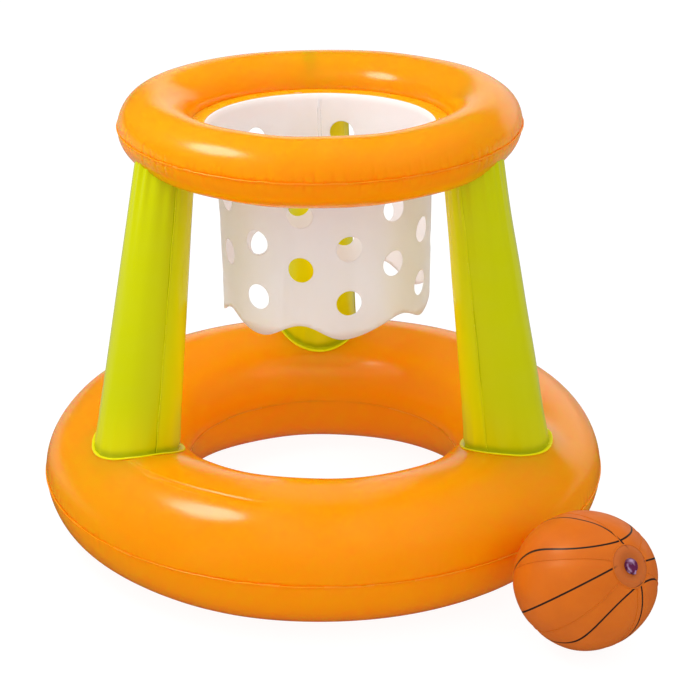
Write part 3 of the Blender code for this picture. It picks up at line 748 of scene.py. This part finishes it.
LEG_LENGTH = math.dist(LEG_FOOT, LEG_HEAD)


def leg_wall(side, angle, height, proud=0.0):
    """Points on a leg at an angle round it and a height along its middle."""
    share = height / LEG_LENGTH
    radius = LEG_FOOT_RADIUS + (LEG_HEAD_RADIUS - LEG_FOOT_RADIUS) * share + proud
    return placed(leg_matrix(side), radius * np.cos(angle), radius * np.sin(angle), height)


def give_way(points):
    """Move a leg's points with the hoop, more towards its head."""
    share = (points[..., 2] - LEG_FOOT[1]) / (LEG_HEAD[1] - LEG_FOOT[1])
    return lean(points, np.clip(share, 0, 1))


def leg_ends(side, angle):
    """Heights along a leg where its wall meets the foot's weld and the hoop."""
    out_way, beside_way = leg_ways(side)
    foot = np.zeros_like(angle)
    head = np.full_like(angle, LEG_LENGTH)
    for _ in range(12):
        away = leg_wall(side, angle, foot) - AXIS
        target = foot_surface(side, away @ out_way - LEG_FOOT[0], away @ beside_way)
        foot += target - away[..., 2]
        away = leg_wall(side, angle, head) - AXIS
        radius = np.hypot(away[..., 0], away[..., 1])
        under = 2 * HOOP.height - HOOP.top(radius)
        head += under - away[..., 2]
    return foot, head


def make_leg(side):
    angle = np.radians(np.arange(0, 360, 2.5))
    foot, head = leg_ends(side, angle)
    step = np.concatenate(([0, 0.002, 0.0045, 0.008, 0.013, 0.02, 0.03],
                           np.linspace(0.045, 0.955, 34),
                           [0.97, 0.98, 0.987, 0.992, 0.996, 1.0]))
    height = foot[:, None] + (head + 0.004 - foot)[:, None] * step[None, :]
    from_foot = height - foot[:, None]
    from_head = head[:, None] - height
    turn = angle[:, None]
    flutes = ripple(turn, step[None, :] * 0, 6, 0.0004, 7, 22)
    proud = flutes * (np.exp(-from_foot / 0.03) + 2 * np.exp(-np.maximum(from_head, 0) / 0.05))
    proud = proud + ripple(turn, step[None, :] * 9.0, 6, 0.00035, 1, 4)
    proud = proud + leg_flare(from_foot)
    for weld in (math.pi / 2, 3 * math.pi / 2):
        beside = (turn - weld) * LEG_FOOT_RADIUS
        proud = proud - 0.0003 * hump(beside, 0.0035)
    points = give_way(leg_wall(side, turn, height, proud))
    quarter = len(angle) // 4
    outer = np.roll(points, quarter, 0)[:2 * quarter + 1]
    inner = points[quarter:3 * quarter + 1]
    for half, skin, material in (("outer", outer, LIME), ("inner", inner, LIT_INNER_LIME)):
        name = f"leg_{side}_{half}_skin"
        nodes = [f"leg_{side}_{half}_panel"]
        if half == "outer":
            nodes.append(f"leg_{side}_hoop_flange")
        piece = add(grid_mesh(name, skin), material, "hoop_stand", nodes)
        thicken(piece, LEG_FILM)
    make_leg_welds(side)
    make_foot_lip(side)


def leg_flare(from_foot):
    """How a leg's wall draws in just above its lip, then meets it."""
    tuck = -0.0016 * hump(from_foot - 0.0030, 0.0035)
    return tuck + 0.0012 * np.exp(-from_foot / 0.02)


def make_leg_welds(side):
    for number, turn in ((1, math.pi / 2), (2, 3 * math.pi / 2)):
        angle = np.full(90, turn)
        foot, head = leg_ends(side, angle[:1])
        height = np.linspace(foot[0] + 0.001, head[0], 90)
        wander = 0.0004 * np.sin(height * 95 + number) / LEG_FOOT_RADIUS
        flare = leg_flare(height - foot[0])
        path = give_way(leg_wall(side, angle + wander, height, flare - 0.0001))
        outside = give_way(leg_wall(side, angle + wander, height, flare + 0.01))
        name = f"leg_{side}_side_bead_{number}"
        mesh = bead(name, path, outside - path, 0.0007, 0.0007, False)
        add(mesh, LIME_WELD, "hoop_stand", (f"leg_{side}_side_weld_{number}",))


def make_foot_lip(side):
    """The thick welded lip that joins a leg to the base ring."""
    out_way, beside_way = leg_ways(side)
    angle = np.radians(np.arange(0, 360, 2.0))[:, None]
    wave = ripple(angle, np.zeros(1), 6, 0.00025, 3, 12)
    # The lip's section, from where it meets the wall to under its rounded edge
    inward = np.array((1.35, 1.0, 0.75, 0.45, 0.20, 0.06, 0.0, 0.03, 0.16, 0.40, 0.9, 1.35))
    rise = np.array((2.6, 1.2, 0.6, 1.0, 2.2, 2.1, 1.2, 0.25, -0.2, -0.6, -0.9, -0.9))
    radius = FOOT_LIP_RADIUS - FOOT_LIP_WIDTH * inward[None, :] + wave * 1.2
    out, beside = radius * np.cos(angle), radius * np.sin(angle)
    height = foot_surface(side, out, beside) + rise[None, :] * 0.0010 + wave
    points = (AXIS + (LEG_FOOT[0] + out)[..., None] * out_way + beside[..., None] * beside_way
              + height[..., None] * np.array((0, 0, 1)))
    mesh = grid_mesh(f"leg_{side}_foot_lip", points[:, ::-1], True, True)
    add(mesh, LIP, "hoop_stand", (f"leg_{side}_base_flange",))


# Net

def net_radius(drop):
    """Outside radius of the net at a drop below the web."""
    flare = 0.55 * np.exp(-drop / 0.012) + 0.45 * np.exp(-drop / 0.032)
    taper = np.clip((NET_LENGTH - drop) / (NET_LENGTH - NET_FLARE), 0, 1)
    return NET_HEM + (NET_WAIST - NET_HEM) * taper + (NET_THROAT - NET_WAIST) * flare


def net_hem(bearing):
    """Length of the net at a bearing in radians."""
    bends = np.radians(NET_BENDS + (NET_BENDS[0] + 360,))
    turned = np.remainder(bearing - bends[0], TURN) + bends[0]
    turns = np.interp(turned, bends, math.pi * np.arange(len(bends)))
    return NET_LENGTH + NET_SCALLOP_HEIGHT / 2 * np.cos(turns) - NET_HEM_TILT * np.cos(bearing)


def net_point(bearing, drop, proud=0.0):
    """World points of the net, from a bearing in radians and a drop."""
    sway = np.clip(drop / NET_LENGTH, 0, 1)
    folds = (0.0011 * np.sin(5 * bearing + 0.7) + 0.0008 * np.sin(8 * bearing + 2.1)
             + 0.0006 * np.sin(13 * bearing + drop * 9)) * sway
    folds = folds + NET_BULGE * np.cos(bearing) * (1 - np.exp(-np.maximum(drop, 0) / 0.05))
    rim = np.clip(-drop, 0, None)
    radius = net_radius(np.maximum(drop, 0)) + folds + rim + proud
    points = on_axis(radius, bearing, NET_TOP - np.maximum(drop, 0))
    # It leans with the hoop at its top and hangs straight lower down
    return lean(points, smooth(1 - drop / 0.10))


def net_holes():
    """Bearing and drop of each hole's middle, with the lap's bearing as zero."""
    for column in range(NET_HOLE_COLUMNS):
        bearing = math.radians(NET_FIRST_COLUMN - NET_LAP + 360 * column / NET_HOLE_COLUMNS)
        tall = column % 2 == 0
        for row in range(3 if tall else 2):
            yield bearing % TURN, NET_HOLE_DROPS[0 if tall else 1] + row * NET_HOLE_PITCH


def make_net():
    """One film with punched holes, cut flat and bent round to its lap."""
    lap = math.radians(NET_LAP)
    girth = TURN * NET_WAIST
    columns = 200
    spacing = girth / columns
    verts, edges = [], []

    def chain(points, closed=False):
        first = len(verts)
        verts.extend(points)
        count = len(points)
        edges.extend((first + k, first + k + 1) for k in range(count - 1))
        if closed:
            edges.append((first + count - 1, first))

    holes = [(bearing * NET_WAIST, drop) for bearing, drop in net_holes()]
    top = [(k * spacing, -NET_RIM) for k in range(columns + 1)]
    hem = [(k * spacing, float(net_hem(k * spacing / NET_WAIST + lap)))
           for k in range(columns + 1)]
    side_steps = np.concatenate(([-0.0045, -0.003, -0.0015, 0, 0.0012, 0.0025],
                                 np.arange(0.004, hem[0][1] - 0.002, 0.004)))
    chain(top)
    chain([top[0]] + [(0.0, float(v)) for v in side_steps] + [hem[0]])
    chain([top[-1]] + [(girth, float(v)) for v in side_steps] + [hem[-1]])
    chain(hem)
    for u, v in holes:
        for grown in (0.0, 0.0012):
            turns = circle(ROUND_SIDES)
            chain([(u + (NET_HOLE_RADIUS + grown) * math.cos(a),
                    v + (NET_HOLE_RADIUS + grown) * math.sin(a)) for a in turns], True)
    centres = np.array(holes)
    for k in range(1, columns):
        u = k * spacing
        foot = hem[k][1] - 0.003
        for v in side_steps:
            if v < foot and np.min(np.hypot(*(centres - (u, v)).T)) > NET_HOLE_RADIUS + 0.003:
                verts.append((u, float(v)))

    flat = delaunay_2d_cdt([Vector(v) for v in verts], edges, [], 0, 1e-6)
    places = np.array([tuple(v) for v in flat[0]])
    faces = []
    for face in flat[2]:
        corners = places[list(face)]
        u, v = corners.mean(0)
        low = net_hem(u / NET_WAIST + lap)
        # A face wider than the pattern's own spans a notch in the hem
        if v > low or np.ptp(corners[:, 0]) > 2.5 * spacing:
            continue
        if np.min(np.hypot(*(centres - (u, v)).T)) > NET_HOLE_RADIUS * 0.995:
            faces.append(face[::-1])
    points = net_point(places[:, 0] / NET_WAIST + lap, places[:, 1])
    mesh = bpy.data.meshes.new("net_film")
    mesh.from_pydata(points.tolist(), [], faces)
    layer = mesh.uv_layers.new(name="along")
    corner = np.empty(len(mesh.loops), np.int64)
    mesh.loops.foreach_get("vertex_index", corner)
    uv = np.stack((places[:, 0] / girth, (places[:, 1] + NET_RIM) / NET_LENGTH), -1)
    layer.data.foreach_set("uv", uv[corner].ravel().astype(np.float32))
    mesh.shade_smooth()
    net = add(mesh, MILKY, "hoop_stand", ("net_sleeve",))
    weld = net.modifiers.new("meet", "WELD")
    weld.merge_threshold = 0.00002
    bake(net)
    thicken(net, NET_FILM)
    lap_piece = make_net_lap(lap)


def make_net_lap(lap):
    """The second thickness of film at the back, where the net's ends are welded."""
    across = np.linspace(-0.0022, 0.0022, 7) / NET_WAIST + lap
    drop = np.linspace(0.006, float(net_hem(lap)) - 0.003, 60)
    edge = 0.00018 * np.array((-1, 0.3, 1, 1, 1, 0.3, -1))
    points = net_point(across[:, None], drop[None, :], edge[:, None])
    mesh = grid_mesh("net_lap", points[::-1])
    lap_piece = add(mesh, MILKY_LAP, "hoop_stand", ("net_lap_weld",))
    thicken(lap_piece, NET_FILM)
    return lap_piece


# Ball

BALL_MATRIX = (Matrix.Translation(Vector(BALL_CENTRE))
               @ Matrix.Rotation(math.radians(BALL_VALVE_BEARING + 90), 4, "Z")
               @ Matrix.Rotation(math.radians(90 - BALL_VALVE_ELEVATION), 4, "X"))
BALL_POLE = BALL_MATRIX.to_3x3() @ Vector((0, 0, 1))
BALL_DISC = math.asin(BALL_DISC_RADIUS / BALL_RADIUS)


def ball_point(longitude, polar, proud=0.0):
    """World points on the ball, from angles round and from its valve's pole."""
    radius = BALL_RADIUS + proud
    out = radius * np.sin(polar)
    return placed(BALL_MATRIX, out * np.cos(longitude), out * np.sin(longitude),
                  radius * np.cos(polar))


def ball_shape(longitude, polar):
    """How far the skin stands from a true sphere, before it is let down."""
    seam = math.radians(BALL_SEAM)
    gore = TURN / BALL_GORES
    beside = np.abs(np.remainder(longitude - seam + gore / 2, gore) - gore / 2)
    beside = beside * BALL_RADIUS * np.sin(polar)
    from_pole = np.minimum(polar, math.pi - polar)
    on_gores = np.clip((from_pole - BALL_DISC) / 0.03, 0, 1)
    proud = -0.0009 * hump(beside, 0.0075) * on_gores
    proud = proud - 0.0006 * hump((from_pole - BALL_DISC) * BALL_RADIUS, 0.0022)
    proud = proud + 0.0002 * np.cos(longitude * 11 + 1) * np.sin(polar * 3) * np.sin(polar)
    dimple = smooth((DIMPLE_RADIUS - polar * BALL_RADIUS) / DIMPLE_SLOPE)
    return proud - dimple * (BALL_RADIUS * np.cos(polar) - BALL_RADIUS + DIMPLE_DEPTH)


def let_down(points):
    """Let the ball down a little: flatter on top and round its foot."""
    away = points - BALL_CENTRE
    from_valve = np.degrees(np.arccos(np.clip(unit(away) @ np.array(BALL_POLE), -1, 1)))
    share = smooth((from_valve - BALL_FIRM[0]) / (BALL_FIRM[1] - BALL_FIRM[0]))
    high = np.clip(away[..., 2] / BALL_RADIUS, -1, 1)
    drop = BALL_DROP * np.maximum(high, 0) ** 1.5
    slope = 2 * np.minimum(high, 0) * np.sqrt(1 - high * high)
    moved = points - unit(away) * (BALL_PULL * slope ** 2 * share)[..., None]
    moved[..., 2] -= drop * share
    return moved


def make_ball():
    longitude = np.radians(np.arange(0, 360, 1.25))
    fine = np.concatenate((np.linspace(0.005, BALL_DISC - 0.03, 15),
                           np.linspace(BALL_DISC - 0.022, BALL_DISC + 0.022, 12)))
    coarse = np.linspace(BALL_DISC + 0.03, math.pi - BALL_DISC - 0.03, 100)
    polar = np.concatenate((fine, coarse, math.pi - fine[::-1]))
    points = let_down(ball_point(longitude[:, None], polar[None, :],
                                 ball_shape(longitude[:, None], polar[None, :])))
    mesh = grid_mesh("ball_skin", points[:, ::-1], True)
    close_poles(mesh, len(longitude), len(polar))
    gores = [f"ball_gore_{number + 1}" for number in range(BALL_GORES)]
    skin = add(mesh, BALL_PRINT, "ball", gores + ["ball_valve_disc", "ball_end_disc"])
    drill(skin, valve_frame("ball"), BALL_POCKET_DEPTH)
    make_ball_welds()


def close_poles(mesh, rows, columns):
    """Fill the small round openings left at both ends of a turned grid."""
    shape = bmesh.new()
    shape.from_mesh(mesh)
    open_edges = [e for e in shape.edges if e.is_boundary]
    bmesh.ops.holes_fill(shape, edges=open_edges, sides=0)
    bmesh.ops.recalc_face_normals(shape, faces=shape.faces)
    shape.to_mesh(mesh)
    shape.free()
    mesh.shade_smooth()


def make_ball_weld(name, turns, polar, closed):
    path = let_down(ball_point(turns, polar, ball_shape(turns, polar) + 0.0001))
    mesh = bead(name, path, path - BALL_CENTRE, 0.0006, 0.0005, closed)
    add(mesh, BALL_WELD, "ball")


def make_ball_welds():
    """The raised welds between the gores, and round the disc at each pole."""
    polar = np.linspace(BALL_DISC, math.pi - BALL_DISC, 120)
    for number in range(BALL_GORES):
        turn = np.full_like(polar, math.radians(BALL_SEAM) + number * TURN / BALL_GORES)
        make_ball_weld(f"ball_seam_{number + 1}", turn, polar, False)
    turns = np.radians(np.arange(0, 360, 3.0))
    for number, angle in ((1, BALL_DISC), (2, math.pi - BALL_DISC)):
        make_ball_weld(f"ball_disc_seam_{number}", turns, np.full_like(turns, angle), True)


# The printed lines, by the planes that they lie in: the middle one left and
# right of the valve, the one across it above and below the valve, and the
# plane between the curved pair
LINE_MIDDLE_LEFT = Vector((-0.4565, 0.4315, 0.7781))
LINE_MIDDLE_RIGHT = Vector((-0.284, 0.491, 0.8235))
LINE_ACROSS_HIGH = Vector((0.622, 0.778, 0.085))
LINE_ACROSS_LOW = Vector((0.717, 0.697, -0.008))
LINE_CURVES = Vector((-0.417, 0.4175, 0.807))
LINE_CURVES_WAY = Vector((0.610, -0.530, 0.589))
# How far the curved pair keeps off its plane, and how much that swings round it
LINE_CURVES_OFF = 0.502
LINE_CURVES_SWING = 0.178
LINE_HALF_WIDTH = 0.0135


def ball_print(place, colour):
    """The four dark lines of a basketball and the valve's disc, over a colour."""
    way = vector_math("NORMALIZE", vector_math("SUBTRACT", place, tuple(BALL_CENTRE)))
    x = dot(way, LINE_CURVES_WAY)
    y = dot(way, LINE_CURVES.cross(LINE_CURVES_WAY))
    xx, yy = times(x, x), times(y, y)
    swing = calc("DIVIDE", minus(xx, yy), plus(xx, yy, 0.0001))
    off = minus(LINE_CURVES_OFF, times(swing, LINE_CURVES_SWING))
    curve = minus(calc("ABSOLUTE", dot(way, LINE_CURVES)), off)
    side = dot(way, LINE_ACROSS_HIGH)
    across = either(dot(way, BALL_POLE.cross(LINE_ACROSS_HIGH)), side, dot(way, LINE_ACROSS_LOW))
    middle = either(side, dot(way, LINE_MIDDLE_RIGHT), dot(way, LINE_MIDDLE_LEFT))
    nearest = least(*(calc("ABSOLUTE", line) for line in (middle, curve, across)))
    ink = remap(nearest, LINE_HALF_WIDTH * 0.8, LINE_HALF_WIDTH * 1.1, 1.0, 0.0)
    # The valve's disc is coloured darker, and the lines fade out under it
    toward = dot(way, BALL_POLE)
    disc = times(remap(toward, 0.950, 0.957), 0.8)
    colour = blend(disc, colour, (0.520, 0.125, 0.022))
    shown = times(remap(toward, 0.948, 0.957, 1.0, 0.45), remap(toward, 0.957, 0.978, 1.0, 0.0))
    return blend(times(ink, shown), colour, (0.020, 0.014, 0.012))


def ball_material(name, printed):
    """Satin soft vinyl, printed on the ball's skin."""
    material = new_material(name)
    shader, place, _ = parts_of(material)
    tone = remap(noise(place, 30.0), 0.3, 0.7)
    colour = blend(tone, (0.690, 0.150, 0.003), (0.640, 0.135, 0.003))
    put(shader, {"Base Color": ball_print(place, colour) if printed else colour,
                 "Roughness": remap(noise(place, 60.0, 3.0), 0.3, 0.7, 0.40, 0.52),
                 "IOR": 1.45, "Specular Tint": (1.0, 0.8, 0.55, 1.0),
                 "Subsurface Weight": 0.15, "Subsurface Radius": (1.0, 0.3, 0.1),
                 "Subsurface Scale": 0.004})
    add_bumps(shader, (noise(place, 55.0), 0.3, 0.0008), (noise(place, 900.0), 0.2, 0.0002))
    return material


BALL_PRINT = ball_material("printed_ball_vinyl", True)
BALL_WELD = ball_material("ball_weld_vinyl", False)


# Valves

def turned(name, profile):
    """A closed profile of (radius, height) turned about Z."""
    around = circle(ROUND_SIDES)[:, None]
    radius, height = np.array(profile).T
    points = np.stack((radius * np.cos(around), radius * np.sin(around),
                       height + 0 * around), -1)
    return grid_mesh(name, points, True, True)


def slab(name, low, high):
    """A strap: a box with softened edges."""
    shape = bmesh.new()
    low, high = Vector(low), Vector(high)
    place = Matrix.Translation((low + high) / 2) @ Matrix.Diagonal((*(high - low), 1))
    bmesh.ops.create_cube(shape, size=1.0, matrix=place)
    bmesh.ops.bevel(shape, geom=shape.edges, offset=0.0004, segments=3, affect="EDGES")
    mesh = bpy.data.meshes.new(name)
    shape.to_mesh(mesh)
    shape.free()
    return mesh


def joined(name, meshes, place):
    """One mesh made of several, set in its place."""
    shape = bmesh.new()
    for mesh in meshes:
        shape.from_mesh(mesh)
        bpy.data.meshes.remove(mesh)
    bmesh.ops.recalc_face_normals(shape, faces=shape.faces)
    mesh = bpy.data.meshes.new(name)
    shape.to_mesh(mesh)
    shape.free()
    mesh.shade_smooth()
    mesh.set_sharp_from_angle(angle=math.radians(40))
    mesh.transform(place)
    return mesh


def make_valve(prefix, material):
    """A soft valve: a rimmed tube that pulls out, with a tethered stopper."""
    place = valve_frame(prefix)
    low, high = FIT_GAP, FIT_GAP + RIM_THICKNESS
    stem = turned("stem", [(0.0050, high - 0.0003), (0.0053, high), (0.0082, high),
                           (0.0085, high - 0.0004), (0.0085, low + 0.0004),
                           (0.0082, low), (0.0066, low), (0.0065, low - 0.0003),
                           (0.0065, -0.0190), (0.0076, -0.0196), (0.0076, -0.0204),
                           (0.0065, -0.0210), (0.0050, -0.0210)])
    lug = slab("lug", (-0.0020, -HINGE_REACH, low), (0.0020, -0.0075, high))
    mesh = joined(prefix + "_valve_tube", [stem, lug], place)
    add(mesh, material, prefix + "_valve", (prefix + "_valve_stem",))
    low = high + FIT_GAP
    high = low + CAP_THICKNESS
    head = turned("head", [(0.0001, high - 0.0002), (0.0030, high - 0.0002), (0.0036, high),
                           (0.0066, high), (0.0073, high - 0.0004), (0.0075, high - 0.0010),
                           (0.0075, low + 0.0003), (0.0072, low), (0.0047, low),
                           (0.0045, low - 0.0010), (0.0037, low - 0.0050),
                           (0.0001, low - 0.0050)])
    strap = slab("strap", (-0.0020, -HINGE_REACH, low), (0.0020, -0.0065, low + 0.0010))
    mesh = joined(prefix + "_stopper_cap", [head, strap], place)
    add(mesh, material, prefix + "_stopper", (prefix + "_valve_plug",))
    collar = frame["nodes"][prefix + "_valve_collar"].data.materials
    collar.clear()
    collar.append(material)


# Stage

def rays(tree):
    """Whether a ray is the camera's, straight or through film, a glossy or a soft one."""
    seen = node(tree, "LightPath").outputs
    camera = most(seen["Is Camera Ray"], seen["Is Transmission Ray"])
    return camera, seen["Is Glossy Ray"], seen["Is Diffuse Ray"]


def make_floor():
    mesh = bpy.data.meshes.new("floor")
    reach = 30.0
    mesh.from_pydata([(-reach, -reach, 0), (reach, -reach, 0), (reach, reach, 0),
                      (-reach, reach, 0)], [], [(0, 1, 2, 3)])
    floor = new_object("floor", mesh)
    floor.location.z = -0.0004
    material = new_material("white_floor")
    tree = material.node_tree
    shader, place, _ = parts_of(material)
    put(shader, {"Base Color": (0.92, 0.92, 0.92, 1.0), "Roughness": 0.9,
                 "Specular IOR Level": 0.0})
    # The floor shows white and keeps a light shadow, and glows a little under
    # the object; in the object's gloss it is dark in front and bright behind
    camera, mirror, diffuse = rays(tree)
    soft = times(diffuse, minus(1.0, camera))
    lit = remap(dot(place, (-0.10, 0.99, 0.0)), 0.16, 0.50, 0.05, 0.36)
    strength = plus(times(camera, 1.09), times(mirror, lit), times(soft, 1.05))
    share = plus(times(camera, 0.85), mirror, times(soft, 0.45))
    glow = node(tree, "Emission", {"Color": (1, 1, 1, 1), "Strength": strength})
    mix = node(tree, "MixShader", {0: share, 1: shader.outputs[0], 2: glow.outputs[0]})
    put(tree.nodes["Material Output"], {"Surface": mix.outputs[0]})
    mesh.materials.append(material)


def make_world():
    """White behind the object, a bright card behind it and an even fill light."""
    world = bpy.data.worlds.new("studio")
    bpy.context.scene.world = world
    world.use_nodes = True
    tree = world.node_tree
    way = node(tree, "TexCoord").outputs["Generated"]
    height = split(way)["Z"]
    # The card stands behind the object, up to 22 degrees above the floor
    behind = remap(dot(way, (0.342, 0.940, 0.0)), 0.81, 0.91)
    card = plus(times(behind, remap(height, 0.34, 0.41, 1.0, 0.0), 0.72), 0.04)
    camera, mirror, _ = rays(tree)
    fill = times(minus(1.0, most(mirror, camera)), plus(times(height, 0.72), 0.62))
    # Warm fill light, and white where the camera sees it
    put(tree.nodes["Background"], {"Strength": plus(times(mirror, card), fill, camera),
                                   "Color": blend(camera, (1.03, 1.0, 0.98), (1.0, 1.0, 1.0))})


def make_lamp():
    """A round soft lamp up on the left that faces the middle of the object."""
    data = bpy.data.lights.new("key_lamp", "AREA")
    data.shape = "ELLIPSE"
    data.size, data.size_y = 0.50, 0.42
    data.energy = 5.0
    lamp = new_object("key_lamp", data)
    lamp.location = (-0.68, -0.20, 1.23)
    way = lamp.location - Vector(AXIS) - Vector((0, 0, 0.25))
    lamp.rotation_euler = way.to_track_quat("Z", "Y").to_euler()


def make_camera():
    data = bpy.data.cameras.new("camera")
    data.lens = 106.2
    data.sensor_width = 36.0
    camera = new_object("camera", data)
    camera.location = (0.018592, -2.253170, 1.145060)
    camera.rotation_euler = (math.radians(67.82), 0, 0)
    bpy.context.scene.camera = camera


def main():
    make_ring_skin(BASE, "base", 0.0006)
    make_ring_skin(HOOP, "hoop", 0.0011)
    make_ring_welds()
    make_web()
    for side in LEG_BEARINGS:
        make_leg(side)
    make_net()
    make_ball()
    for prefix, material in (("base", CLEAR), ("hoop", CLEAR), ("ball", VIOLET)):
        make_valve(prefix, material)
    make_floor()
    make_world()
    make_camera()
    make_lamp()
    bpy.context.scene.view_settings.view_transform = "Standard"


main()
